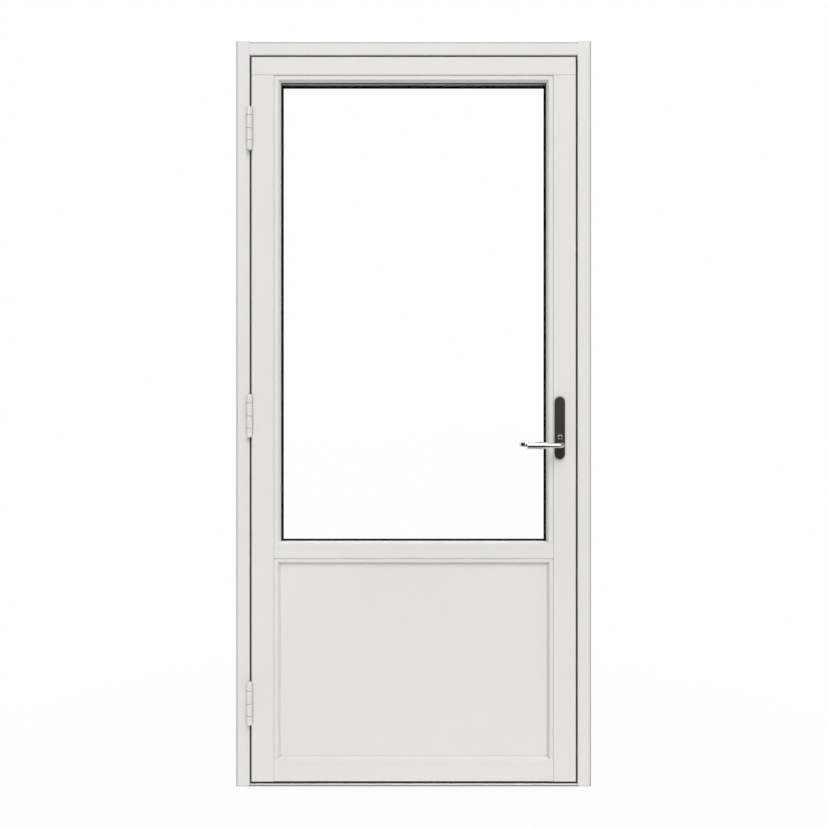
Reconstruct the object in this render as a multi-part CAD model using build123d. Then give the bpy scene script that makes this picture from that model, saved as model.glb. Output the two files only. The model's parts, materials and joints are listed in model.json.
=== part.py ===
# Glazed terrace door in its frame: the leaf hangs on three barrel hinges and opens towards the room.
# Millimetres. X runs to the right and Y into the wall, both as seen from the room, and Z runs up.
# The origin is on the underside of the threshold, midway across the frame and midway through its depth.
import os

from build123d import *

# Frame
frame_width = 990
frame_height = 2080
frame_depth = 115
jamb_face = 37
head_drop = 2.5
head_face = 36
stop_width = 18
stop_depth = 77
threshold_height = 7.5
upstand_height = 34
upstand_top = 4
upstand_outer_height = 26
frame_edge_radius = 2.5
fixing_hole_radius = 5
fixing_hole_inset = 19
fixing_hole_end = 300

# Soft strips between frame and leaf
seal_width = 8
seal_thickness = 4
seal_inset = 9
seal_end_gap = 3

# Leaf
gap = 5
bottom_gap = 6
leaf_thickness = 68
latch_edge_bevel = 3.5
stile_face = 63
top_rail_face = 50.5
lock_rail_face = 29
lock_rail_bottom = 636
bottom_rail_face = 48.5
rebate_width = 18
rebate_depth = 58
lip_chamfer = 6
leaf_edge_radius = 2.5
inner_edge_radius = 2
end_overrun = 5

# Beads that hold the glass and the panel
bead_recess = 3
bead_edge_radius = 1
bead_corner_radius = 0.5
glass_bead_width = 19
glass_bead_flat = 12
panel_bead_width = 15
panel_bead_flat = 10
glass_bead_depth = 16
panel_bead_depth = 14
bead_nose_depth = 14
sill_bead_front = 12.5
sill_bead_height = 18.5

# Glass unit and panel
pane_thickness = 4
cavity = 12
glass_seal_thickness = 3
glass_edge_gap = 4
sight_inset = 20
sill_seal_show = 1
spacer_inset = 3
spacer_width = 9
panel_edge_gap = 3

# Hinges
hinge_axis_from_jamb = 1
hinge_axis_proud = 9
hinge_radius = 8
hinge_foot = 220.5
hinge_head = 202.5
upper_knuckle = 36
upper_cap = 24
lower_knuckle = 33
lower_cap = 26
knuckle_gap = 1
pin_radius = 4.5
pin_clearance = 0.1
pin_length = 30
bore_depth = 32
groove_width = 1
groove_depth = 0.6
cap_chamfer = 2
flap_thickness = 2.5
flap_height = 100
flap_depth = 34
flap_reach = 6
flap_shoulder = 1

# Lock edge
faceplate_width = 16
faceplate_thickness = 3
faceplate_inset = 26
faceplate_end = 150
strike_thickness = 2.5
strike_width = 24
strike_height = 160
strike_inset = 22
strike_slot_width = 12
strike_slot_height = 80
strike_pocket = 18

# Handle
plate_width = 28
plate_height = 174.5
plate_thickness = 8
plate_backset = 45.5
plate_edge_chamfer = 1.5
spindle_below_top = 135
plate_foot = 913.5
neck_radius = 7
neck_clearance = 0.06
neck_seat = 6
neck_end_gap = 1
lever_proud = 45
neck_bend_radius = 10
# Places along the grip from the spindle, each with its radius
grip_stations = ((26, 7), (66, 10.6), (97, 10.6))
return_root = 8
return_depth = 12
return_height = 14
return_corner = 3
return_lift = 3
return_bend_radius = 13.5
return_length = 8
return_end_chamfer = 1.5

# Drip rail on the outside
drip_depth = 30
drip_foot = 42
drip_height = 36
drip_nose = 10
drip_roof = 4
drip_end_gap = 10

# Derived places
front = -frame_depth / 2
rebate_x = frame_width / 2 - jamb_face
stop_x = rebate_x - stop_width
head_top = frame_height - head_drop
head_foot = head_top - head_face
leaf_x = rebate_x - gap
leaf_foot = threshold_height + bottom_gap
leaf_top = head_foot - gap
stile_x = leaf_x - stile_face
lip_x = stile_x - rebate_width
top_rail_foot = leaf_top - top_rail_face
lock_rail_top = lock_rail_bottom + lock_rail_face
bottom_rail_top = leaf_foot + bottom_rail_face
sight_x = stile_x - sight_inset
sight_top = top_rail_foot - sight_inset
sight_foot = lock_rail_top + sill_bead_height + sill_seal_show
hinge_x = -rebate_x + hinge_axis_from_jamb
hinge_y = front - hinge_axis_proud
hinge_low = leaf_foot + hinge_foot
hinge_high = leaf_top - hinge_head
hinge_places = {"bottom": hinge_low, "middle": (hinge_low + hinge_high) / 2, "top": hinge_high}
plate_x = leaf_x - plate_backset
plate_top = plate_foot + plate_height
spindle_z = plate_top - spindle_below_top

lengthwise = Plane(origin=(0, 0, 0), x_dir=(0, 1, 0), z_dir=(1, 0, 0))


def deep(distance):
    return front + distance


def outline(*corners):
    face = Polygon(*[(a, b) for a, b, *_ in corners], align=None)
    for a, b, *radius in corners:
        if radius:
            face = fillet(face.vertices().sort_by_distance((a, b, 0))[0], radius[0])
    return face


def upright(face, low, high):
    return Pos(0, 0, low) * extrude(face, high - low, dir=(0, 0, 1))


def level(face, left, right):
    return Pos(left, 0, 0) * extrude(lengthwise * face, right - left, dir=(1, 0, 0))


def block(left, right, near, far, low, high):
    middle = Pos((left + right) / 2, deep((near + far) / 2), (low + high) / 2)
    return middle * Box(right - left, far - near, high - low)


def ring(outer_x, outer_low, outer_high, rim, near, far):
    inner = block(rim - outer_x, outer_x - rim, near, far, outer_low + rim, outer_high - rim)
    return block(-outer_x, outer_x, near, far, outer_low, outer_high) - inner


def jamb(side):
    outer = frame_width / 2
    profile = outline(
        (side * outer, front, frame_edge_radius),
        (side * outer, deep(frame_depth), frame_edge_radius),
        (side * stop_x, deep(frame_depth), frame_edge_radius),
        (side * stop_x, deep(stop_depth), frame_edge_radius),
        (side * rebate_x, deep(stop_depth)),
        (side * rebate_x, front, frame_edge_radius),
    )
    post = upright(profile, 0, frame_height)
    for z in (fixing_hole_end, frame_height - fixing_hole_end):
        hole_at = Pos(side * outer, deep(frame_depth - fixing_hole_inset), z) * Rot(0, 90, 0)
        post -= hole_at * Cylinder(fixing_hole_radius, 2 * (jamb_face + stop_width + end_overrun))
    return post


def hinge_jamb():
    post = jamb(-1)
    for z in hinge_places.values():
        post -= block(-rebate_x - flap_thickness, -rebate_x, 0, flap_depth, z - flap_height / 2,
                      z + flap_height / 2)
    return post


def latch_jamb(strikes):
    post = jamb(1)
    for z in strikes:
        post -= block(rebate_x, rebate_x + strike_thickness, *strike_span(), z - strike_height / 2,
                      z + strike_height / 2)
        post -= slot_block(z, strike_thickness, strike_pocket)
    return post


def strike_span():
    return strike_inset, strike_inset + strike_width


def slot_block(z, near, far):
    middle = strike_inset + strike_width / 2
    return block(rebate_x + near, rebate_x + far, middle - strike_slot_width / 2,
                 middle + strike_slot_width / 2, z - strike_slot_height / 2, z + strike_slot_height / 2)


def strike_plate(z):
    plate = block(rebate_x, rebate_x + strike_thickness, *strike_span(), z - strike_height / 2,
                  z + strike_height / 2)
    return plate - slot_block(z, 0, strike_thickness)


def frame_head():
    face = outline(
        (front, head_foot, frame_edge_radius),
        (front, head_top, frame_edge_radius),
        (deep(stop_depth), head_top),
        (deep(stop_depth), head_foot),
    )
    stop = outline(
        (deep(stop_depth), head_foot - stop_width, frame_edge_radius),
        (deep(stop_depth), head_top),
        (deep(frame_depth), head_top, frame_edge_radius),
        (deep(frame_depth), head_foot - stop_width, frame_edge_radius),
    )
    return level(face, -rebate_x, rebate_x) + level(stop, -stop_x, stop_x)


def threshold():
    tread = outline(
        (front, 0),
        (front, threshold_height, frame_edge_radius),
        (deep(stop_depth), threshold_height),
        (deep(stop_depth), 0),
    )
    upstand = outline(
        (deep(stop_depth), 0),
        (deep(stop_depth), upstand_height, inner_edge_radius),
        (deep(stop_depth + upstand_top), upstand_height, inner_edge_radius),
        (deep(frame_depth), upstand_outer_height, inner_edge_radius),
        (deep(frame_depth), 0),
    )
    return level(tread, -rebate_x, rebate_x) + level(upstand, -stop_x, stop_x)


def frame_seal():
    near, far = stop_depth - seal_thickness, stop_depth
    side_in = stop_x + seal_inset - seal_width / 2
    low = threshold_height + seal_inset
    high = head_foot - seal_inset - seal_width / 2
    strips = [
        block(-side_in - seal_width, -side_in, near, far, low, high - seal_end_gap),
        block(side_in, side_in + seal_width, near, far, low, high - seal_end_gap),
        block(-stop_x, stop_x, near, far, high, high + seal_width),
        block(seal_end_gap - side_in, side_in - seal_end_gap, near, far, low, low + seal_width),
    ]
    return Compound(children=strips)


def stile(side, bevel):
    profile = outline(
        (side * stile_x, front, inner_edge_radius),
        (side * leaf_x, front, leaf_edge_radius),
        (side * (leaf_x - bevel), deep(leaf_thickness), leaf_edge_radius),
        (side * (lip_x + lip_chamfer), deep(leaf_thickness)),
        (side * lip_x, deep(leaf_thickness - lip_chamfer)),
        (side * lip_x, deep(rebate_depth)),
        (side * stile_x, deep(rebate_depth)),
    )
    return upright(profile, leaf_foot, top_rail_foot)


def hinge_stile():
    post = stile(-1, 0)
    for z in hinge_places.values():
        post -= block(-leaf_x, flap_thickness - leaf_x, 0, flap_depth, z - flap_height / 2,
                      z + flap_height / 2)
    return post


def lock_faceplate():
    lean = latch_edge_bevel / leaf_thickness
    near, far = faceplate_inset, faceplate_inset + faceplate_width
    profile = outline(
        (leaf_x - near * lean, deep(near)),
        (leaf_x - far * lean, deep(far)),
        (leaf_x - far * lean - faceplate_thickness, deep(far)),
        (leaf_x - near * lean - faceplate_thickness, deep(near)),
    )
    return upright(profile, leaf_foot + faceplate_end, top_rail_foot - faceplate_end)


def latch_stile():
    return stile(1, latch_edge_bevel) - lock_faceplate()


def top_rail():
    plan = outline(
        (-leaf_x, front, leaf_edge_radius),
        (leaf_x, front, leaf_edge_radius),
        (leaf_x - latch_edge_bevel, deep(leaf_thickness), leaf_edge_radius),
        (-leaf_x, deep(leaf_thickness), leaf_edge_radius),
    )
    bar = upright(plan, top_rail_foot, leaf_top)
    rims = bar.faces().filter_by(Axis.Z).edges()
    bar = fillet(rims, inner_edge_radius)
    lip = outline(
        (deep(rebate_depth), top_rail_foot + rebate_width),
        (deep(leaf_thickness), top_rail_foot + rebate_width),
        (deep(leaf_thickness), top_rail_foot - rebate_width + lip_chamfer),
        (deep(leaf_thickness - lip_chamfer), top_rail_foot - rebate_width),
        (deep(rebate_depth), top_rail_foot - rebate_width),
    )
    return bar + level(lip, -lip_x, lip_x)


def cross_rail(low, high, lip_below, low_radius):
    front_bar = outline(
        (front, low, low_radius),
        (front, high),
        (deep(rebate_depth), high),
        (deep(rebate_depth), low),
    )
    under = lip_below * rebate_width
    back_bar = outline(
        (deep(rebate_depth), low - under),
        (deep(rebate_depth), high + rebate_width),
        (deep(leaf_thickness - lip_chamfer), high + rebate_width),
        (deep(leaf_thickness), high + rebate_width - lip_chamfer),
        (deep(leaf_thickness), low - under + lip_below * lip_chamfer),
        (deep(leaf_thickness - lip_chamfer), low - under),
    )
    return level(front_bar, -stile_x, stile_x) + level(back_bar, -lip_x, lip_x)


def bead_outline(width, flat, depth):
    return (
        (0, bead_recess, bead_corner_radius),
        (flat, bead_recess, bead_edge_radius),
        (width, bead_nose_depth - (glass_bead_depth - depth), bead_corner_radius),
        (width, depth),
        (0, depth),
    )


def sill_bead(rail_top, depth):
    profile = outline(
        (front, rail_top),
        (front, rail_top + sill_bead_front, bead_edge_radius),
        (deep(bead_nose_depth), rail_top + sill_bead_height),
        *([(deep(depth), rail_top + sill_bead_height)] if depth > bead_nose_depth else []),
        (deep(depth), rail_top),
    )
    return level(profile, -stile_x, stile_x)


def side_bead(side, width, flat, depth, sill, low, high):
    shape = bead_outline(width, flat, depth)
    profile = outline(*[(side * (stile_x - a), deep(b), *r) for a, b, *r in shape])
    bar = upright(profile, low, high)
    return bar - corner_wedge(side, high, width) - sill


def corner_wedge(side, high, width):
    reach = stile_x + width
    triangle = Polygon((side * stile_x, high), (side * (stile_x - reach), high),
                       (side * (stile_x - reach), high - reach), align=None)
    upright_plane = Plane(origin=(0, deep(0), 0), x_dir=(1, 0, 0), z_dir=(0, -1, 0))
    return extrude(upright_plane * triangle, frame_depth, dir=(0, 1, 0))


def top_bead(width, flat, depth, high):
    shape = bead_outline(width, flat, depth)
    profile = outline(*[(deep(b), high - a, *r) for a, b, *r in shape])
    bar = level(profile, -stile_x, stile_x)
    return bar & (corner_wedge(-1, high, width) + corner_wedge(1, high, width))


def pane(number):
    near = glass_bead_depth + glass_seal_thickness + number * (pane_thickness + cavity)
    edge = stile_x - glass_edge_gap
    return block(-edge, edge, near, near + pane_thickness, lock_rail_top + glass_edge_gap,
                 top_rail_foot - glass_edge_gap)


def spacer(number):
    near = (glass_bead_depth + glass_seal_thickness + pane_thickness
            + number * (pane_thickness + cavity))
    edge = sight_x + spacer_inset + spacer_width
    return ring(edge, sight_foot - spacer_inset - spacer_width, sight_top + spacer_inset + spacer_width,
                spacer_width, near, near + cavity)


def glass_seal(near):
    rim = spacer_inset + spacer_width
    return ring(sight_x + rim, sight_foot - rim, sight_top + rim, rim, near,
                near + glass_seal_thickness)


def lower_panel():
    edge = stile_x - panel_edge_gap
    return block(-edge, edge, panel_bead_depth, rebate_depth, bottom_rail_top + panel_edge_gap,
                 lock_rail_bottom - panel_edge_gap)


def knuckle(low, high):
    return Pos(hinge_x, hinge_y, (low + high) / 2) * Cylinder(hinge_radius, high - low)


def groove(z):
    outer = Pos(hinge_x, hinge_y, z) * Cylinder(hinge_radius + groove_depth, groove_width)
    return outer - Pos(hinge_x, hinge_y, z) * Cylinder(hinge_radius - groove_depth, groove_width)


def flap(left, right, middle, low, high):
    plate = block(left, right, 0, flap_depth, middle - flap_height / 2, middle + flap_height / 2)
    return plate + block(left, right, -flap_reach, 0, low, high)


def hinge_frame_half(z):
    top = z - knuckle_gap / 2
    parting = top - lower_knuckle
    foot = parting - lower_cap
    barrel = knuckle(foot, top)
    barrel = chamfer(barrel.edges().filter_by(GeomType.CIRCLE).sort_by(Axis.Z)[0], cap_chamfer)
    barrel -= groove(parting)
    pin = Pos(hinge_x, hinge_y, top + pin_length / 2) * Cylinder(pin_radius, pin_length)
    return barrel + flap(-rebate_x - flap_thickness, -rebate_x, z, parting + flap_shoulder, top) + pin


def hinge_leaf_half(z):
    foot = z + knuckle_gap / 2
    parting = foot + upper_knuckle
    top = parting + upper_cap
    barrel = knuckle(foot, top)
    barrel = chamfer(barrel.edges().filter_by(GeomType.CIRCLE).sort_by(Axis.Z)[-1], cap_chamfer)
    barrel -= groove(parting)
    barrel += flap(-leaf_x, flap_thickness - leaf_x, z, foot, parting - flap_shoulder)
    bore = Cylinder(pin_radius + pin_clearance, bore_depth)
    return barrel - Pos(hinge_x, hinge_y, foot + bore_depth / 2) * bore


def handle_plate():
    shape = Pos(plate_x, (plate_foot + plate_top) / 2) * SlotOverall(plate_height, plate_width, rotation=90)
    wall_plane = Plane(origin=(0, front, 0), x_dir=(1, 0, 0), z_dir=(0, -1, 0))
    plate = extrude(wall_plane * shape, plate_thickness, dir=(0, -1, 0))
    plate = chamfer(plate.faces().sort_by(Axis.Y)[0].edges(), plate_edge_chamfer)
    seat = Pos(plate_x, front - plate_thickness + neck_seat / 2, spindle_z) * Rot(90, 0, 0)
    return plate - seat * Cylinder(neck_radius + neck_clearance, neck_seat)


def lever_plane(along, lift):
    middle = (plate_x - along, front - lever_proud, spindle_z + lift)
    return Plane(origin=middle, x_dir=(0, 1, 0), z_dir=(-1, 0, 0))


def quarter_turn(cut, along, reach, side):
    pivot = Axis((plate_x - along, front - lever_proud + reach, 0), (0, 0, 1))
    turns = [revolve(cut, pivot, angle) for angle in (90, -90)]
    return max(turns, key=lambda turn: side * turn.center().X)


def lever_neck():
    foot = front - plate_thickness + neck_seat - neck_end_gap
    end = front - lever_proud + neck_bend_radius
    middle = Pos(plate_x, (foot + end) / 2, spindle_z) * Rot(90, 0, 0)
    elbow_cut = lever_plane(neck_bend_radius, 0) * Circle(neck_radius)
    return middle * Cylinder(neck_radius, foot - end) + quarter_turn(elbow_cut, neck_bend_radius,
                                                                     neck_bend_radius, 1)


def lever_grip():
    side = [(neck_bend_radius, 0), (neck_bend_radius, neck_radius), *grip_stations, (grip_stations[-1][0], 0)]
    middle = (plate_x, front - lever_proud, spindle_z)
    side_plane = Plane(origin=middle, x_dir=(-1, 0, 0), z_dir=(0, 1, 0))
    return revolve(side_plane * Polygon(*side, align=None), Axis(middle, (-1, 0, 0)))


def lever_return():
    end = grip_stations[-1][0]
    cut = Rectangle(return_depth, return_height)
    cut = lever_plane(end, return_lift) * chamfer(cut.vertices(), return_corner)
    root = extrude(cut, -return_root)
    bend = quarter_turn(cut, end, return_bend_radius, -1)
    tip = extrude(bend.faces().sort_by(Axis.Y)[-1], return_length)
    return root + bend + chamfer(tip.faces().sort_by(Axis.Y)[-1].edges(), return_end_chamfer)


def lever():
    return lever_neck() + lever_grip() + lever_return()


def drip_rail():
    near, far = leaf_thickness, leaf_thickness + drip_depth
    profile = outline(
        (deep(near), drip_foot),
        (deep(far), drip_foot),
        (deep(far), drip_foot + drip_nose, inner_edge_radius),
        (deep(near + drip_roof), drip_foot + drip_height, inner_edge_radius),
        (deep(near), drip_foot + drip_height),
    )
    return level(profile, drip_end_gap - stop_x, stop_x - drip_end_gap)


strike_places = {"bottom": hinge_places["bottom"], "middle": spindle_z, "top": hinge_places["top"]}
glass_sill = sill_bead(lock_rail_top, glass_bead_depth)
panel_sill = sill_bead(bottom_rail_top, panel_bead_depth)
glass_shape = (glass_bead_width, glass_bead_flat, glass_bead_depth)
panel_shape = (panel_bead_width, panel_bead_flat, panel_bead_depth)
outer_seal_near = rebate_depth - glass_seal_thickness

nodes = {
    "hinge_jamb": hinge_jamb(),
    "latch_jamb": latch_jamb(strike_places.values()),
    "frame_head": frame_head(),
    "threshold": threshold(),
    "frame_seal": frame_seal(),
    "hinge_stile": hinge_stile(),
    "latch_stile": latch_stile(),
    "top_rail": top_rail(),
    "lock_rail": cross_rail(lock_rail_bottom, lock_rail_top, 1, inner_edge_radius),
    "bottom_rail": cross_rail(leaf_foot, bottom_rail_top, 0, leaf_edge_radius),
    "glass_bead_left": side_bead(-1, *glass_shape, glass_sill, lock_rail_top, top_rail_foot),
    "glass_bead_right": side_bead(1, *glass_shape, glass_sill, lock_rail_top, top_rail_foot),
    "glass_bead_top": top_bead(*glass_shape, top_rail_foot),
    "glass_bead_bottom": glass_sill,
    "panel_bead_left": side_bead(-1, *panel_shape, panel_sill, bottom_rail_top, lock_rail_bottom),
    "panel_bead_right": side_bead(1, *panel_shape, panel_sill, bottom_rail_top, lock_rail_bottom),
    "panel_bead_top": top_bead(*panel_shape, lock_rail_bottom),
    "panel_bead_bottom": panel_sill,
    "lower_panel": lower_panel(),
    "pane_inner": pane(0),
    "pane_middle": pane(1),
    "pane_outer": pane(2),
    "spacer_inner": spacer(0),
    "spacer_outer": spacer(1),
    "glass_seal_inner": glass_seal(glass_bead_depth),
    "glass_seal_outer": glass_seal(outer_seal_near),
    "lock_faceplate": lock_faceplate(),
    "handle_plate": handle_plate(),
    "lever": lever(),
    "drip_rail": drip_rail(),
}
for place, z in hinge_places.items():
    nodes[f"hinge_frame_half_{place}"] = hinge_frame_half(z)
    nodes[f"hinge_leaf_half_{place}"] = hinge_leaf_half(z)
for place, z in strike_places.items():
    nodes[f"strike_plate_{place}"] = strike_plate(z)

os.makedirs("parts", exist_ok=True)
for name, shape in nodes.items():
    export_step(shape, f"parts/{name}.step")
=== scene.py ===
import json
import math

import bmesh
import bpy
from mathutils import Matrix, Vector


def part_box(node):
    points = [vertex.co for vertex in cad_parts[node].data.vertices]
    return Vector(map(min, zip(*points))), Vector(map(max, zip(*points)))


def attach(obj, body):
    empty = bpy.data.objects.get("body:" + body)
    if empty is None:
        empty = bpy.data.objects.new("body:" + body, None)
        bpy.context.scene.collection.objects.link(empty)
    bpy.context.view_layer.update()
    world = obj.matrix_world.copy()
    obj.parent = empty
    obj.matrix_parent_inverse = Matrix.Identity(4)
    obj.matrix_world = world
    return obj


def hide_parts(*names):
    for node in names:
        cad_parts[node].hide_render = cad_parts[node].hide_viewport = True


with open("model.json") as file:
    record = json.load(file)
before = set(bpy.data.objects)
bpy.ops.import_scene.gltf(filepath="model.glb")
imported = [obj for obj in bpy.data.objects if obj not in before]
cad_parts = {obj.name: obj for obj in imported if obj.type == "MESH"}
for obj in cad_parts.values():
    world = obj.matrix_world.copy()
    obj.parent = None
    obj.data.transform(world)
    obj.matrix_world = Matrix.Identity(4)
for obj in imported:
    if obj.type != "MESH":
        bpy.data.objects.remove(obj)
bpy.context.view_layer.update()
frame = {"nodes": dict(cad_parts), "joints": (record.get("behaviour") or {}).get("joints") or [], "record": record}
nodes = frame["nodes"]
slotOf = {row["node"]: row["material_slot"] for row in frame["record"]["subparts"]}
bodyOf = {node: body for body, held in frame["record"]["behaviour"]["bodies"].items() for node in held}
pivotOf = {joint["name"]: joint["pos_m"] for joint in frame["joints"]}
spindle = Vector(pivotOf["lever_turn"])
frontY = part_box("hinge_jamb")[0].y
placeNames = ("bottom", "middle", "top")
mm = 0.001
print("frame loaded:", len(nodes), "nodes")


# helpers for shader trees

def newMaterial(name):
    material = bpy.data.materials.new(name)
    material.use_nodes = True
    tree = material.node_tree
    return material, tree, tree.nodes["Principled BSDF"]


def addNode(tree, kind, **inputs):
    node = tree.nodes.new(kind)
    for label, value in inputs.items():
        node.inputs[label.replace("_", " ")].default_value = value
    return node


def mathNode(tree, kind, *values):
    node = tree.nodes.new("ShaderNodeMath")
    node.operation = kind
    for socket, value in zip(node.inputs, values):
        if isinstance(value, (int, float)):
            socket.default_value = value
        else:
            tree.links.new(value, socket)
    return node.outputs[0]


def stretched(tree, scale):
    coord = tree.nodes.new("ShaderNodeTexCoord")
    mapping = addNode(tree, "ShaderNodeMapping", Scale=scale)
    tree.links.new(coord.outputs["Object"], mapping.inputs["Vector"])
    return mapping.outputs["Vector"]


def noise(tree, vector, scale, detail, rough=0.5):
    node = addNode(tree, "ShaderNodeTexNoise", Scale=scale, Detail=detail, Roughness=rough)
    tree.links.new(vector, node.inputs["Vector"])
    return node.outputs["Fac"]


def evenNoise(tree, scale, detail):
    return noise(tree, stretched(tree, (1, 1, 1)), scale, detail)


def ramp(tree, fac, low, high, start=0.3, end=0.7):
    node = tree.nodes.new("ShaderNodeValToRGB")
    node.color_ramp.elements[0].position = start
    node.color_ramp.elements[1].position = end
    node.color_ramp.elements[0].color = low
    node.color_ramp.elements[1].color = high
    tree.links.new(fac, node.inputs["Fac"])
    return node.outputs["Color"]


def tint(color, factor=1.0):
    return (color[0] * factor, color[1] * factor, color[2] * factor, 1.0)


def clouded(tree, fac, color, factors):
    return ramp(tree, fac, tint(color, factors[0]), tint(color, factors[1]))


def spread(tree, fac, low, high):
    node = addNode(tree, "ShaderNodeMapRange", To_Min=low, To_Max=high)
    tree.links.new(fac, node.inputs["Value"])
    return node.outputs["Result"]


def bump(tree, shader, layers):
    normal = None
    for height, strength, distance in layers:
        node = addNode(tree, "ShaderNodeBump", Strength=strength, Distance=distance)
        tree.links.new(height, node.inputs["Height"])
        if normal:
            tree.links.new(normal, node.inputs["Normal"])
        normal = node.outputs["Normal"]
    tree.links.new(normal, shader.inputs["Normal"])


def multiplied(tree, color, shade):
    mix = tree.nodes.new("ShaderNodeMix")
    mix.data_type = "RGBA"
    mix.blend_type = "MULTIPLY"
    sockets = [socket for socket in mix.inputs if socket.type == "RGBA"]
    next(socket for socket in mix.inputs if socket.type == "VALUE").default_value = 1.0
    tree.links.new(color, sockets[0])
    tree.links.new(shade, sockets[1])
    return next(socket for socket in mix.outputs if socket.type == "RGBA")


white = (1, 1, 1, 1)
# painted shade in the creases of the painted wood and of the hinges
woodCreaseShade = {"reach": 8 * mm, "samples": 6, "open": 0.74, "color": (0.12, 0.12, 0.115)}
hingeCreaseShade = {"reach": 2.5 * mm, "samples": 8, "open": 0.96, "color": (0.03, 0.03, 0.03)}


def paintedCreaseShade(tree, color, look):
    # painted shade: colour darkens by ambient occlusion in joints, grooves and gaps, where shade falls
    near = addNode(tree, "ShaderNodeAmbientOcclusion", Distance=look["reach"])
    near.samples = look["samples"]
    shade = ramp(tree, near.outputs["AO"], tint(look["color"]), white, 0.0, look["open"])
    return multiplied(tree, color, shade)


# finishes, one per slot of the record

paintLook = {
    "color": (0.775, 0.766, 0.735), "roughness": (0.34, 0.46), "shine": 0.35,
    "grainNoise": (3.0, 6.0, 0.6), "peelNoise": (420, 2.0), "cloudNoise": (2.3, 3.0), "cloudTint": (0.985, 1.012),
    "grainBump": (0.05, 0.4 * mm), "peelBump": (0.035, 0.3 * mm),
    # tone and width of the painted shade along the frame's outer front arris
    "rimShadeTone": (0.35, 0.35, 0.35), "rimShadeWidth": 3.0 * mm,
}


def rimShaded(tree, color, axis, start):
    # painted shade along the frame's outer front edge, where its rounded arris turns away from the light
    coord = tree.nodes.new("ShaderNodeTexCoord")
    parts = tree.nodes.new("ShaderNodeSeparateXYZ")
    tree.links.new(coord.outputs["Object"], parts.inputs[0])
    away = mathNode(tree, "ABSOLUTE", parts.outputs[axis])
    outside = mathNode(tree, "GREATER_THAN", away, start)
    inFront = mathNode(tree, "LESS_THAN", parts.outputs["Y"], frontY + paintLook["rimShadeWidth"])
    both = mathNode(tree, "MULTIPLY", outside, inFront)
    return multiplied(tree, color, ramp(tree, both, white, tint(paintLook["rimShadeTone"]), 0.0, 1.0))


def paintedWood(name, grain, rim=None):
    material, tree, shader = newMaterial(name)
    flow = noise(tree, stretched(tree, grain), *paintLook["grainNoise"])
    peel = evenNoise(tree, *paintLook["peelNoise"])
    cloud = evenNoise(tree, *paintLook["cloudNoise"])
    # painted shade darkens the paint in joints, gaps and recesses
    color = paintedCreaseShade(tree, clouded(tree, cloud, paintLook["color"], paintLook["cloudTint"]), woodCreaseShade)
    # painted shade along the frame's outer front edge
    if rim:
        color = rimShaded(tree, color, *rim)
    tree.links.new(color, shader.inputs["Base Color"])
    shader.inputs["Specular IOR Level"].default_value = paintLook["shine"]
    tree.links.new(spread(tree, flow, *paintLook["roughness"]), shader.inputs["Roughness"])
    bump(tree, shader, [(flow, *paintLook["grainBump"]), (peel, *paintLook["peelBump"])])
    return material


coatLook = {"color": (0.775, 0.766, 0.735), "roughness": (0.28, 0.38), "speckle": (900, 2.0),
            "speckleTint": (0.98, 1.01), "bump": (0.06, 0.2 * mm)}


def powderCoat():
    material, tree, shader = newMaterial("hingePowderCoat")
    speckle = evenNoise(tree, *coatLook["speckle"])
    color = clouded(tree, speckle, coatLook["color"], coatLook["speckleTint"])
    # painted shade darkens the hinge's grooves and the gaps around it
    tree.links.new(paintedCreaseShade(tree, color, hingeCreaseShade), shader.inputs["Base Color"])
    tree.links.new(spread(tree, speckle, *coatLook["roughness"]), shader.inputs["Roughness"])
    bump(tree, shader, [(speckle, *coatLook["bump"])])
    return material


glassLook = {"color": (0.998, 1.0, 0.999, 1), "ior": 1.45, "reflection": (0.1, 0.1, 0.1, 1),
             "haze": (5.0, 2.0), "roughness": (0.0, 0.012)}


def floatGlass():
    material, tree, shader = newMaterial("clearFloatGlass")
    shader.inputs["Base Color"].default_value = glassLook["color"]
    shader.inputs["IOR"].default_value = glassLook["ior"]
    shader.inputs["Transmission Weight"].default_value = 1.0
    shader.inputs["Specular Tint"].default_value = glassLook["reflection"]
    haze = evenNoise(tree, *glassLook["haze"])
    tree.links.new(spread(tree, haze, *glassLook["roughness"]), shader.inputs["Roughness"])
    return material


mouldLook = {"detail": 3.0, "grainTint": (0.85, 1.12), "bump": 0.12}


def moulded(name, color, roughness, grain, depth, shine):
    material, tree, shader = newMaterial(name)
    shader.inputs["Specular IOR Level"].default_value = shine
    fine = evenNoise(tree, grain, mouldLook["detail"])
    tree.links.new(clouded(tree, fine, color, mouldLook["grainTint"]), shader.inputs["Base Color"])
    tree.links.new(spread(tree, fine, *roughness), shader.inputs["Roughness"])
    bump(tree, shader, [(fine, mouldLook["bump"], depth)])
    return material


drawnLook = {"streak": (1.0, 4.0, 0.65), "cloud": (14.0, 3.0), "cloudTint": (0.95, 1.04), "depth": 0.1 * mm}


def drawnMetal(name, color, roughness, lines, strength):
    material, tree, shader = newMaterial(name)
    shader.inputs["Metallic"].default_value = 1.0
    streak = noise(tree, stretched(tree, lines), *drawnLook["streak"])
    cloud = evenNoise(tree, *drawnLook["cloud"])
    tree.links.new(clouded(tree, cloud, color, drawnLook["cloudTint"]), shader.inputs["Base Color"])
    tree.links.new(spread(tree, streak, *roughness), shader.inputs["Roughness"])
    bump(tree, shader, [(streak, strength, drawnLook["depth"])])
    return material


lacquerLook = {"color": (0.034, 0.031, 0.026), "shine": 0.25, "roughness": (0.32, 0.46), "grain": (1500, 2.0),
               "cloud": (30, 3.0), "cloudTint": (0.93, 1.07), "bump": (0.06, 0.1 * mm)}


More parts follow.
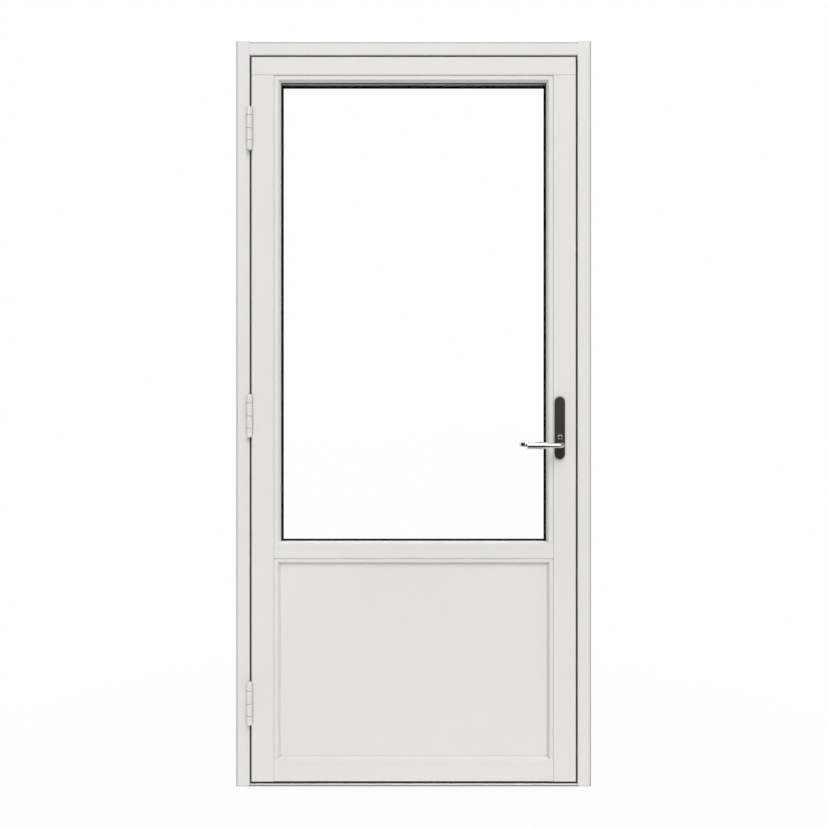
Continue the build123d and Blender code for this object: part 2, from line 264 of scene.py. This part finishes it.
def darkLacquer():
    material, tree, shader = newMaterial("plateDarkLacquer")
    shader.inputs["Specular IOR Level"].default_value = lacquerLook["shine"]
    grain = evenNoise(tree, *lacquerLook["grain"])
    cloud = evenNoise(tree, *lacquerLook["cloud"])
    color = clouded(tree, cloud, lacquerLook["color"], lacquerLook["cloudTint"])
    tree.links.new(color, shader.inputs["Base Color"])
    tree.links.new(spread(tree, grain, *lacquerLook["roughness"]), shader.inputs["Roughness"])
    bump(tree, shader, [(grain, *lacquerLook["bump"])])
    return material


uprightGrain, levelGrain = (60, 60, 2.2), (2.2, 60, 60)
outerX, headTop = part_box("latch_jamb")[1].x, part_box("frame_head")[1].z
paints = {
    "upright": paintedWood("whitePaintUpright", uprightGrain),
    "level": paintedWood("whitePaintLevel", levelGrain),
    # jamb and head paints carry the painted edge shade
    "jamb": paintedWood("whitePaintJamb", uprightGrain, ("X", outerX - paintLook["rimShadeWidth"])),
    "head": paintedWood("whitePaintHead", levelGrain, ("Z", headTop - paintLook["rimShadeWidth"])),
}
levelPieces = ("top_rail", "lock_rail", "bottom_rail", "glass_bead_top", "glass_bead_bottom",
               "panel_bead_top", "panel_bead_bottom")
paintOf = {"hinge_jamb": paints["jamb"], "latch_jamb": paints["jamb"], "frame_head": paints["head"],
           **{node: paints["level"] for node in levelPieces}}
finishes = {
    "hinge_white": powderCoat(),
    "clear_glass": floatGlass(),
    # grey spacer, its tone raised to near white as a painted highlight so it shows bright in the shade between the
    # panes
    "spacer_grey": moulded("spacerGreyPaintedHighlight", color=(0.88, 0.88, 0.87), roughness=(0.35, 0.5), grain=600,
                           depth=0.1 * mm, shine=0.5),
    "spacer_black": moulded("spacerBlack", color=(0.012, 0.012, 0.012), roughness=(0.55, 0.7), grain=600,
                            depth=0.1 * mm, shine=0.12),
    "black_rubber": moulded("glazingSealBlack", color=(0.010, 0.010, 0.010), roughness=(0.6, 0.75), grain=800,
                            depth=0.1 * mm, shine=0.12),
    "grey_seal": moulded("weatherSealGrey", color=(0.05, 0.05, 0.05), roughness=(0.7, 0.85), grain=700,
                         depth=0.3 * mm, shine=0.5),
    "threshold_metal": drawnMetal("thresholdAnodised", color=(0.60, 0.60, 0.59), roughness=(0.30, 0.46),
                                  lines=(4, 700, 700), strength=0.05),
    "lock_steel": drawnMetal("lockPlatedSteel", color=(0.56, 0.55, 0.53), roughness=(0.24, 0.38),
                             lines=(700, 700, 6), strength=0.04),
    "plate_dark": darkLacquer(),
    "lever_chrome": drawnMetal("leverChrome", color=(0.80, 0.80, 0.80), roughness=(0.045, 0.09),
                               lines=(20, 20, 20), strength=0.006),
}


def finishFor(node):
    if slotOf[node] == "white_paint":
        return paintOf.get(node, paints["upright"])
    return finishes[slotOf[node]]


print("finishes made:", len(paints) + len(finishes))


# pieces that keep the solid's shape, with eased edges and smooth curves

edges = {"wood": 0.5 * mm, "metal": 0.2 * mm, "segments": 2, "angle": math.radians(35), "flatWeight": 90,
         "weld": 0.002 * mm, "flatAngle": math.radians(0.5)}


def addPiece(name, mesh, body, replaced):
    piece = bpy.data.objects.new(name, mesh)
    bpy.context.scene.collection.objects.link(piece)
    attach(piece, body)
    if replaced:
        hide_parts(*replaced)
    return piece


def meshOf(name, corners, faces, material):
    mesh = bpy.data.meshes.new(name)
    mesh.from_pydata(corners, [], faces)
    mesh.materials.append(material)
    return mesh


def cleanCopy(node):
    shape = bmesh.new()
    shape.from_mesh(nodes[node].data)
    bmesh.ops.remove_doubles(shape, verts=shape.verts, dist=edges["weld"])
    bmesh.ops.dissolve_limit(shape, angle_limit=edges["flatAngle"], verts=shape.verts, edges=shape.edges)
    for face in shape.faces:
        face.smooth = True
    mesh = bpy.data.meshes.new(node + "_eased")
    shape.to_mesh(mesh)
    shape.free()
    mesh.set_sharp_from_angle(angle=edges["angle"])
    return mesh


def easedPiece(node, width):
    mesh = cleanCopy(node)
    mesh.materials.append(finishFor(node))
    piece = addPiece(node + "_eased", mesh, bodyOf[node], [node])
    bevel = piece.modifiers.new("easedEdges", "BEVEL")
    bevel.width = width
    bevel.segments = edges["segments"]
    bevel.limit_method = "ANGLE"
    bevel.angle_limit = edges["angle"]
    bevel.harden_normals = True
    flat = piece.modifiers.new("flatFaces", "WEIGHTED_NORMAL")
    flat.keep_sharp = True
    flat.weight = edges["flatWeight"]


ownShapes = {"lever", "handle_plate"}
plainSlots = {"clear_glass", "black_rubber", "spacer_grey", "spacer_black"}
for node in nodes:
    if node in ownShapes:
        continue
    if slotOf[node] in plainSlots:
        nodes[node].data.materials.clear()
        nodes[node].data.materials.append(finishFor(node))
        continue
    easedPiece(node, edges["wood"] if slotOf[node] == "white_paint" else edges["metal"])
for node in ("pane_inner", "pane_middle", "pane_outer"):
    nodes[node].visible_shadow = False  # clear glass lets the studio light through


# filler over the rounded jamb edge where the head meets it

filler = {"width": 2.5 * mm}


def cornerFill():
    low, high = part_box("frame_head")
    width = filler["width"]
    corners, faces = [], []
    for side in (-1, 1):
        inner, outer = side * high.x, side * (high.x + width)
        for z in (low.z + width, high.z - width):
            corners += [(inner, low.y, z), (outer, low.y, z), (inner, low.y + width, z)]
        a, b, c, d, e, f = range(len(corners) - 6, len(corners))
        faces += [(a, b, c), (d, f, e), (a, d, e, b), (b, e, f, c), (c, f, d, a)]
    mesh = meshOf("corner_fill", corners, faces, paints["upright"])
    addPiece("corner_fill", mesh, "frame", [])


cornerFill()


# soft lip of the glass seal, pressed out past the beads

lip = {"over": 0.6 * mm, "show": 2.1 * mm, "deep": 3.4 * mm, "behind": 0.2 * mm, "intoSill": 3 * mm,
       "round": 0.6 * mm}


def sealLip():
    noseX, (low, high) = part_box("glass_bead_right")[0].x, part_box("glass_bead_top")
    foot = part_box("glass_bead_bottom")[1].z - lip["intoSill"]
    outX, outZ = noseX + lip["over"], low.z + lip["over"]
    inX, inZ = noseX - lip["show"], low.z - lip["show"]
    outline = [(-outX, foot), (-outX, outZ), (outX, outZ), (outX, foot)]
    outline += [(inX, foot), (inX, inZ), (-inX, inZ), (-inX, foot)]
    count = len(outline)
    depths = (high.y - lip["deep"], high.y - lip["behind"])
    corners = [(x, y, z) for y in depths for x, z in outline]
    legs = [(0, 1, 6, 7), (1, 2, 5, 6), (2, 3, 4, 5)]
    faces = legs + [tuple(k + count for k in reversed(leg)) for leg in legs]
    faces += [(k, k + count, (k + 1) % count + count, (k + 1) % count) for k in range(count)]
    mesh = meshOf("glass_seal_lip", corners, faces, finishes["black_rubber"])
    piece = addPiece("glass_seal_lip", mesh, "leaf", [])
    soft = piece.modifiers.new("softEdges", "BEVEL")
    soft.width = lip["round"]
    soft.segments = edges["segments"]


sealLip()
print("eased pieces made")


# lever: a round bar that thickens from its neck, with a flat return at its end

lever = {
    "neckRadius": 7 * mm, "neckBend": 10 * mm, "thinTo": 26 * mm, "thickFrom": 66 * mm, "gripEnd": 97 * mm,
    "gripRadius": 10.6 * mm, "endRound": 2 * mm, "returnDepth": 12 * mm, "returnHeight": 14 * mm,
    "returnCorner": 4 * mm, "returnLift": 3 * mm, "returnRoot": 8 * mm, "returnBend": 13.5 * mm,
    "returnLength": 8 * mm, "tipRound": 1.5 * mm, "sides": 64, "steps": 40, "roundSteps": 6,
}
up, back, right = Vector((0, 0, 1)), Vector((0, 1, 0)), Vector((1, 0, 0))


def roundCut(radius):
    turns = [2 * math.pi * k / lever["sides"] for k in range(lever["sides"])]
    return [(radius * math.cos(turn), radius * math.sin(turn)) for turn in turns]


def flatCut(inset):
    corner = lever["returnCorner"] - inset
    halfDeep, halfTall = lever["returnDepth"] / 2 - inset - corner, lever["returnHeight"] / 2 - inset - corner
    points, quarter = [], lever["sides"] // 4
    for k, (a, b) in enumerate(((1, 1), (-1, 1), (-1, -1), (1, -1))):
        for n in range(quarter):
            turn = math.radians(90 * (k + n / (quarter - 1)))
            points.append((a * halfDeep + corner * math.cos(turn), b * halfTall + corner * math.sin(turn)))
    return points


def placedCut(middle, across, cut):
    return [middle + across * a + up * b for a, b in cut]


def gripRadiusAt(along):
    t = (along - lever["thinTo"]) / (lever["thickFrom"] - lever["thinTo"])
    t = min(max(t, 0), 1)
    return lever["neckRadius"] + (lever["gripRadius"] - lever["neckRadius"]) * t * t * (3 - 2 * t)


def quarterTurns(steps):
    return [math.pi / 2 * k / steps for k in range(steps + 1)]


def gripLoops(axis, seatY):
    bend = lever["neckBend"]
    neck = roundCut(lever["neckRadius"])
    loops = [placedCut(Vector((axis.x, seatY, axis.z)), right, neck)]
    for turn in quarterTurns(lever["steps"]):
        middle = axis + right * bend * (math.cos(turn) - 1) + back * bend * (1 - math.sin(turn))
        loops.append(placedCut(middle, right * math.cos(turn) - back * math.sin(turn), neck))
    straight = lever["gripEnd"] - lever["endRound"]
    for k in range(1, lever["steps"] + 1):
        along = bend + (straight - bend) * k / lever["steps"]
        loops.append(placedCut(axis - right * along, -back, roundCut(gripRadiusAt(along))))
    for turn in quarterTurns(lever["roundSteps"])[1:]:
        inset = lever["endRound"] * (1 - math.cos(turn))
        along = straight + lever["endRound"] * math.sin(turn)
        loops.append(placedCut(axis - right * along, -back, roundCut(lever["gripRadius"] - inset)))
    return loops


def returnLoops(axis):
    bend, cut = lever["returnBend"], flatCut(0)
    start = axis - right * lever["gripEnd"] + up * lever["returnLift"]
    loops = [placedCut(start + right * lever["returnRoot"], -back, cut)]
    for turn in quarterTurns(lever["steps"]):
        middle = start - right * bend * math.sin(turn) + back * bend * (1 - math.cos(turn))
        loops.append(placedCut(middle, -back * math.cos(turn) - right * math.sin(turn), cut))
    corner = start - right * bend + back * (bend + lever["returnLength"] - lever["tipRound"])
    for turn in quarterTurns(lever["roundSteps"]):
        inset = lever["tipRound"] * (1 - math.cos(turn))
        loops.append(placedCut(corner + back * lever["tipRound"] * math.sin(turn), -right, flatCut(inset)))
    return loops


def skinned(name, groups, material):
    shape = bmesh.new()
    for loops in groups:
        rows = [[shape.verts.new(point) for point in loop] for loop in loops]
        count = len(rows[0])
        for a, b in zip(rows, rows[1:]):
            for k in range(count):
                n = (k + 1) % count
                shape.faces.new((a[k], a[n], b[n], b[k]))
        shape.faces.new(rows[0])
        shape.faces.new(rows[-1])
    bmesh.ops.recalc_face_normals(shape, faces=shape.faces)
    for face in shape.faces:
        face.smooth = True
    mesh = bpy.data.meshes.new(name)
    shape.to_mesh(mesh)
    shape.free()
    mesh.set_sharp_from_angle(angle=edges["angle"])
    mesh.materials.append(material)
    return mesh


def buildLever():
    low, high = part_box("lever")
    axis = Vector((spindle.x, low.y + lever["gripRadius"], spindle.z))
    groups = [gripLoops(axis, high.y), returnLoops(axis)]
    mesh = skinned("lever_bar", groups, finishes["lever_chrome"])
    addPiece("lever_bar", mesh, "handle", ["lever"])


buildLever()


# handle plate with round ends and a softened rim

plate = {"endSteps": 40, "rim": 2 * mm, "rimSteps": 6}


def plateOutline(low, high, inset):
    radius = (high.x - low.x) / 2 - inset
    middleX = (low.x + high.x) / 2
    points = []
    for centreZ, start in ((high.z - radius - inset, 0), (low.z + radius + inset, 180)):
        for k in range(plate["endSteps"] + 1):
            angle = math.radians(start + 180 * k / plate["endSteps"])
            points.append((middleX + radius * math.cos(angle), centreZ + radius * math.sin(angle)))
    return points


def buildPlate():
    low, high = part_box("handle_plate")
    levels = [(high.y, 0.0)]
    for turn in quarterTurns(plate["rimSteps"]):
        levels.append((low.y + plate["rim"] * (1 - math.sin(turn)), plate["rim"] * (1 - math.cos(turn))))
    loops = [[(x, y, z) for x, z in plateOutline(low, high, inset)] for y, inset in levels]
    mesh = skinned("handle_plate_body", [loops], finishes["plate_dark"])
    addPiece("handle_plate_body", mesh, "leaf", ["handle_plate"])


buildPlate()
print("handle made")


# trees that put one shape on each point of a mesh

def copyTree(name, decimals, integers=()):
    tree = bpy.data.node_groups.new(name, "GeometryNodeTree")
    tree.interface.new_socket("Geometry", in_out="INPUT", socket_type="NodeSocketGeometry")
    for label in decimals:
        tree.interface.new_socket(label, in_out="INPUT", socket_type="NodeSocketFloat")
    for label in integers:
        tree.interface.new_socket(label, in_out="INPUT", socket_type="NodeSocketInt")
    tree.interface.new_socket("Material", in_out="INPUT", socket_type="NodeSocketMaterial")
    tree.interface.new_socket("Geometry", in_out="OUTPUT", socket_type="NodeSocketGeometry")
    return tree, tree.nodes.new("NodeGroupInput").outputs


def endCopies(tree, given, shape, rotation=None):
    link = tree.links.new
    put = tree.nodes.new("GeometryNodeInstanceOnPoints")
    link(given["Geometry"], put.inputs["Points"])
    link(shape, put.inputs["Instance"])
    if rotation is not None:
        link(rotation, put.inputs["Rotation"])
    real = tree.nodes.new("GeometryNodeRealizeInstances")
    link(put.outputs["Instances"], real.inputs["Geometry"])
    coat = tree.nodes.new("GeometryNodeSetMaterial")
    link(real.outputs["Geometry"], coat.inputs["Geometry"])
    link(given["Material"], coat.inputs["Material"])
    end = tree.nodes.new("NodeGroupOutput")
    link(coat.outputs["Geometry"], end.inputs["Geometry"])


def putCopies(copied, name, places, body, slot, sizes, seed):
    points = bpy.data.meshes.new(name + "_points")
    points.from_pydata([place for place, way in places], [], [])
    facing = points.attributes.new("facing", "FLOAT_VECTOR", "POINT")
    for k, (place, way) in enumerate(places):
        facing.data[k].vector = way
    holder = bpy.data.objects.new(name + "_points", points)
    bpy.context.scene.collection.objects.link(holder)
    maker = holder.modifiers.new("copies", "NODES")
    maker.node_group = copied
    values = {**sizes, "Seed": seed, "Material": finishes[slot]}
    for item in copied.interface.items_tree:
        if item.in_out == "INPUT" and item.name in values:
            maker[item.identifier] = values[item.name]
    bpy.context.view_layer.update()
    made = bpy.data.meshes.new_from_object(holder.evaluated_get(bpy.context.evaluated_depsgraph_get()))
    made.name = name
    holder.modifiers.remove(maker)
    bpy.data.objects.remove(holder)
    addPiece(name, made, body, [])


# screw heads with a cross recess, turned the way their point faces

screws = {
    "flap": {"Head Radius": 4.2 * mm, "Head Height": 0.7 * mm, "Recess Width": 0.9 * mm,
             "Recess Reach": 6.3 * mm, "Most Spin": math.pi / 2},
    "plate": {"Head Radius": 7.4 * mm, "Head Height": 1.2 * mm, "Recess Width": 3.8 * mm,
              "Recess Reach": 16 * mm, "Most Spin": 0.0},
    "sides": 32, "topShare": 0.7, "cutShare": 3, "frameSeed": 3, "leafSeed": 5, "plateSeed": 2,
    "flapRows": (0.12, 0.38, 0.62, 0.88), "flapColumns": (0.42, 0.72), "flapHeight": 100 * mm,
    "sunk": 0.15 * mm, "strikeInset": 18 * mm, "plateRise": 22 * mm,
}


def recessedHead(tree, given):
    link = tree.links.new
    head = tree.nodes.new("GeometryNodeMeshCone")
    head.inputs["Vertices"].default_value = screws["sides"]
    link(given["Head Radius"], head.inputs["Radius Bottom"])
    link(mathNode(tree, "MULTIPLY", given["Head Radius"], screws["topShare"]), head.inputs["Radius Top"])
    link(given["Head Height"], head.inputs["Depth"])
    cut = tree.nodes.new("GeometryNodeMeshBoolean")
    cut.operation = "DIFFERENCE"
    link(head.outputs["Mesh"], cut.inputs["Mesh 1"])
    for turn in (0, math.pi / 2):
        arm = tree.nodes.new("GeometryNodeMeshCube")
        size = tree.nodes.new("ShaderNodeCombineXYZ")
        link(given["Recess Reach"], size.inputs["X"])
        link(given["Recess Width"], size.inputs["Y"])
        link(mathNode(tree, "MULTIPLY", given["Head Height"], screws["cutShare"]), size.inputs["Z"])
        link(size.outputs[0], arm.inputs["Size"])
        place = tree.nodes.new("GeometryNodeTransform")
        place.inputs["Rotation"].default_value = (0, 0, turn)
        link(arm.outputs["Mesh"], place.inputs["Geometry"])
        link(place.outputs["Geometry"], cut.inputs["Mesh 2"])
    return cut.outputs["Mesh"]


def spunRotation(tree, given):
    link = tree.links.new
    facing = tree.nodes.new("GeometryNodeInputNamedAttribute")
    facing.data_type = "FLOAT_VECTOR"
    facing.inputs["Name"].default_value = "facing"
    align = tree.nodes.new("FunctionNodeAlignRotationToVector")
    align.axis = "Z"
    link(facing.outputs["Attribute"], align.inputs["Vector"])
    spin = tree.nodes.new("FunctionNodeRandomValue")
    spin.data_type = "FLOAT"
    spinLow, spinHigh = [socket for socket in spin.inputs if socket.type == "VALUE"][:2]
    spinLow.default_value = 0.0
    link(given["Most Spin"], spinHigh)
    link(given["Seed"], spin.inputs["Seed"])
    about = tree.nodes.new("FunctionNodeAxisAngleToRotation")
    about.inputs["Axis"].default_value = (0, 0, 1)
    link(next(socket for socket in spin.outputs if socket.type == "VALUE"), about.inputs["Angle"])
    turned = tree.nodes.new("FunctionNodeRotateRotation")
    turned.rotation_space = "LOCAL"
    link(align.outputs["Rotation"], turned.inputs["Rotation"])
    link(about.outputs["Rotation"], turned.inputs["Rotate By"])
    return turned.outputs["Rotation"]


def screwTree():
    decimals = ("Head Radius", "Head Height", "Recess Width", "Recess Reach", "Most Spin")
    tree, given = copyTree("screwHeads", decimals, ("Seed",))
    endCopies(tree, given, recessedHead(tree, given), spunRotation(tree, given))
    return tree


def hingeMiddle(place):
    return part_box(f"hinge_leaf_half_{place}")[0].z + screws["flapHeight"] / 2


def flapScrews(half, face, way):
    places = []
    for place in placeNames:
        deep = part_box(f"hinge_{half}_half_{place}")[1].y - frontY
        for k, row in enumerate(screws["flapRows"]):
            column = screws["flapColumns"][k % 2]
            z = hingeMiddle(place) + (row - 0.5) * screws["flapHeight"]
            places.append(((face, frontY + deep * column, z), way))
    return places


def strikeScrews(node, face, way):
    low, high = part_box(node)
    middleY = (low.y + high.y) / 2
    return [((face, middleY, z), way) for z in (low.z + screws["strikeInset"], high.z - screws["strikeInset"])]


def allScrews():
    heads = screwTree()
    jambFace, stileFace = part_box("strike_plate_top")[0].x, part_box("hinge_stile")[0].x
    framePlaces = flapScrews("frame", screws["sunk"] - jambFace, (1, 0, 0))
    for place in placeNames:
        framePlaces += strikeScrews(f"strike_plate_{place}", jambFace - screws["sunk"], (-1, 0, 0))
    leafPlaces = flapScrews("leaf", stileFace - screws["sunk"], (-1, 0, 0))
    platePlace = (spindle.x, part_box("handle_plate")[0].y, spindle.z + screws["plateRise"])
    putCopies(heads, "frame_screws", framePlaces, "frame", "lock_steel", screws["flap"], screws["frameSeed"])
    putCopies(heads, "leaf_screws", leafPlaces, "leaf", "lock_steel", screws["flap"], screws["leafSeed"])
    putCopies(heads, "plate_screw", [(platePlace, (0, -1, 0))], "leaf", "lock_steel", screws["plate"],
              screws["plateSeed"])


allScrews()
print("screws made")


# dark bearing rings in the hinges' partings, also painted shade that darkens the parting lines

rings = {"size": {"Ring Radius": 7.75 * mm, "Ring Height": 0.9 * mm}, "sides": 48, "seed": 0,
         "lower": -33.5 * mm, "upper": 36.5 * mm}


def ringTree():
    tree, given = copyTree("bearingRingsShadeLines", ("Ring Radius", "Ring Height"))
    disc = tree.nodes.new("GeometryNodeMeshCylinder")
    disc.inputs["Vertices"].default_value = rings["sides"]
    tree.links.new(given["Ring Radius"], disc.inputs["Radius"])
    tree.links.new(given["Ring Height"], disc.inputs["Depth"])
    endCopies(tree, given, disc.outputs["Mesh"])
    return tree


def hingeRingsShadeLines():
    pinX, pinY = pivotOf["leaf_swing"][:2]
    framePlaces, leafPlaces, tree = [], [], ringTree()
    for place in placeNames:
        middle = hingeMiddle(place)
        # the dark rings are bearing rings and also painted shade lines at the partings
        framePlaces += [((pinX, pinY, middle + rise), up) for rise in (rings["lower"], 0)]
        leafPlaces.append(((pinX, pinY, middle + rings["upper"]), up))
    putCopies(tree, "frame_hinge_ring_shade_lines", framePlaces, "frame", "grey_seal", rings["size"], rings["seed"])
    putCopies(tree, "leaf_hinge_ring_shade_lines", leafPlaces, "leaf", "grey_seal", rings["size"], rings["seed"])


hingeRingsShadeLines()
print("hinge rings made")


# plain white studio

studio = {
    "floor": 60.0, "floorTone": (0.9, 0.9, 0.9, 1), "floorRough": 0.9, "nearGlow": 0.9, "farGlow": 1.0,
    "shadowReach": 1.6, "floorInChrome": 0.42,
    "frontAmbient": 0.29, "backAmbient": 0.8, "frontTo": 0.15, "backFrom": 0.6,
    "brightTo": -0.6, "darkFrom": -0.05, "backInChrome": 0.12,
    "sun": 2.03, "sunSize": math.radians(38), "sunFrom": (0.17, -1.0, 1.0),
    "cameraX": 1 * mm, "cameraAway": 2.6, "cameraHeight": 1.0395, "lens": 40.5, "sensor": 36, "cardTone": 0.03,
}
cards = {
    "front_card": [(0.1, -2.0, 0.02), (1.3, -2.0, 0.02), (1.3, -2.0, 0.96), (0.1, -2.0, 0.96)],
    "low_card": [(0.1, -2.0, 0.02), (1.3, -2.0, 0.02), (1.3, -0.9, 0.02), (0.1, -0.9, 0.02)],
    "side_card": [(-1.4, -3.2, 0.3), (-1.1, 0.5, 0.3), (-1.1, 0.5, 1.6), (-1.4, -3.2, 1.6)],
}


def shownThrough(tree, path):
    return mathNode(tree, "MAXIMUM", path["Is Camera Ray"], path["Is Transmission Ray"])


def whiteSurround():
    world = bpy.data.worlds.new("studio")
    bpy.context.scene.world = world
    world.use_nodes = True
    tree = world.node_tree
    sky = tree.nodes["Background"]
    sky.inputs["Color"].default_value = white
    coord = tree.nodes.new("ShaderNodeTexCoord")
    way = tree.nodes.new("ShaderNodeSeparateXYZ")
    tree.links.new(coord.outputs["Generated"], way.inputs[0])
    around = addNode(tree, "ShaderNodeMapRange", From_Min=studio["frontTo"], From_Max=studio["backFrom"],
                     To_Min=studio["frontAmbient"], To_Max=studio["backAmbient"])
    tree.links.new(way.outputs["Y"], around.inputs["Value"])
    mirrored = addNode(tree, "ShaderNodeMapRange", From_Min=studio["brightTo"], From_Max=studio["darkFrom"],
                       To_Min=1.0, To_Max=studio["backInChrome"])
    tree.links.new(way.outputs["Y"], mirrored.inputs["Value"])
    path = tree.nodes.new("ShaderNodeLightPath").outputs
    lit = addNode(tree, "ShaderNodeMapRange")
    tree.links.new(path["Is Glossy Ray"], lit.inputs["Value"])
    tree.links.new(around.outputs["Result"], lit.inputs["To Min"])
    tree.links.new(mirrored.outputs["Result"], lit.inputs["To Max"])
    level = addNode(tree, "ShaderNodeMapRange", To_Max=1.0)
    tree.links.new(shownThrough(tree, path), level.inputs["Value"])
    tree.links.new(lit.outputs["Result"], level.inputs["To Min"])
    tree.links.new(level.outputs["Result"], sky.inputs["Strength"])


def mixedShaders(tree, share, first, second):
    mix = tree.nodes.new("ShaderNodeMixShader")
    tree.links.new(share, mix.inputs[0])
    tree.links.new(first, mix.inputs[1])
    tree.links.new(second, mix.inputs[2])
    return mix.outputs[0]


def glow(tree, strength):
    return addNode(tree, "ShaderNodeEmission", Color=white, Strength=strength).outputs[0]


def stageSheet(name, corners, material):
    mesh = meshOf(name, corners, [(0, 1, 2, 3)], material)
    sheet = bpy.data.objects.new(name, mesh)
    bpy.context.scene.collection.objects.link(sheet)
    return sheet


def paleFloor():
    material, tree, shader = newMaterial("paleFloor")
    shader.inputs["Base Color"].default_value = studio["floorTone"]
    shader.inputs["Roughness"].default_value = studio["floorRough"]
    path = tree.nodes.new("ShaderNodeLightPath").outputs
    reach = 1 / studio["shadowReach"]
    away = tree.nodes.new("ShaderNodeTexGradient")
    away.gradient_type = "SPHERICAL"
    tree.links.new(stretched(tree, (reach, reach, reach)), away.inputs["Vector"])
    glowing = spread(tree, away.outputs["Fac"], studio["farGlow"], studio["nearGlow"])
    share = mathNode(tree, "MULTIPLY", shownThrough(tree, path), glowing)
    shown = mixedShaders(tree, share, shader.outputs[0], glow(tree, 1.0))
    inMetal = mathNode(tree, "GREATER_THAN", path["Is Glossy Ray"], shownThrough(tree, path))
    shown = mixedShaders(tree, inMetal, shown, glow(tree, studio["floorInChrome"]))
    tree.links.new(shown, tree.nodes["Material Output"].inputs["Surface"])
    half = studio["floor"] / 2
    stageSheet("studio_floor", [(-half, -half, 0), (half, -half, 0), (half, half, 0), (-half, half, 0)], material)


def darkCards():
    # seen only in shiny surfaces
    material, tree, shader = newMaterial("darkCard")
    tree.links.new(glow(tree, studio["cardTone"]), tree.nodes["Material Output"].inputs["Surface"])
    for name, corners in cards.items():
        card = stageSheet(name, corners, material)
        card.visible_camera = card.visible_diffuse = card.visible_transmission = card.visible_shadow = False


def softSun():
    data = bpy.data.lights.new("softSun", "SUN")
    data.energy = studio["sun"]
    data.angle = studio["sunSize"]
    lamp = bpy.data.objects.new("softSun", data)
    lamp.location = studio["sunFrom"]
    lamp.rotation_euler = Vector(studio["sunFrom"]).to_track_quat("Z", "Y").to_euler()
    bpy.context.scene.collection.objects.link(lamp)


def photoCamera():
    data = bpy.data.cameras.new("photoView")
    data.sensor_width = studio["sensor"]
    data.lens = studio["lens"]
    camera = bpy.data.objects.new("photoView", data)
    camera.location = (studio["cameraX"], frontY - studio["cameraAway"], studio["cameraHeight"])
    camera.rotation_euler = (math.pi / 2, 0, 0)
    bpy.context.scene.collection.objects.link(camera)
    bpy.context.scene.camera = camera


whiteSurround()
paleFloor()
darkCards()
softSun()
photoCamera()
bpy.context.scene.view_settings.view_transform = "Standard"
print("studio made")
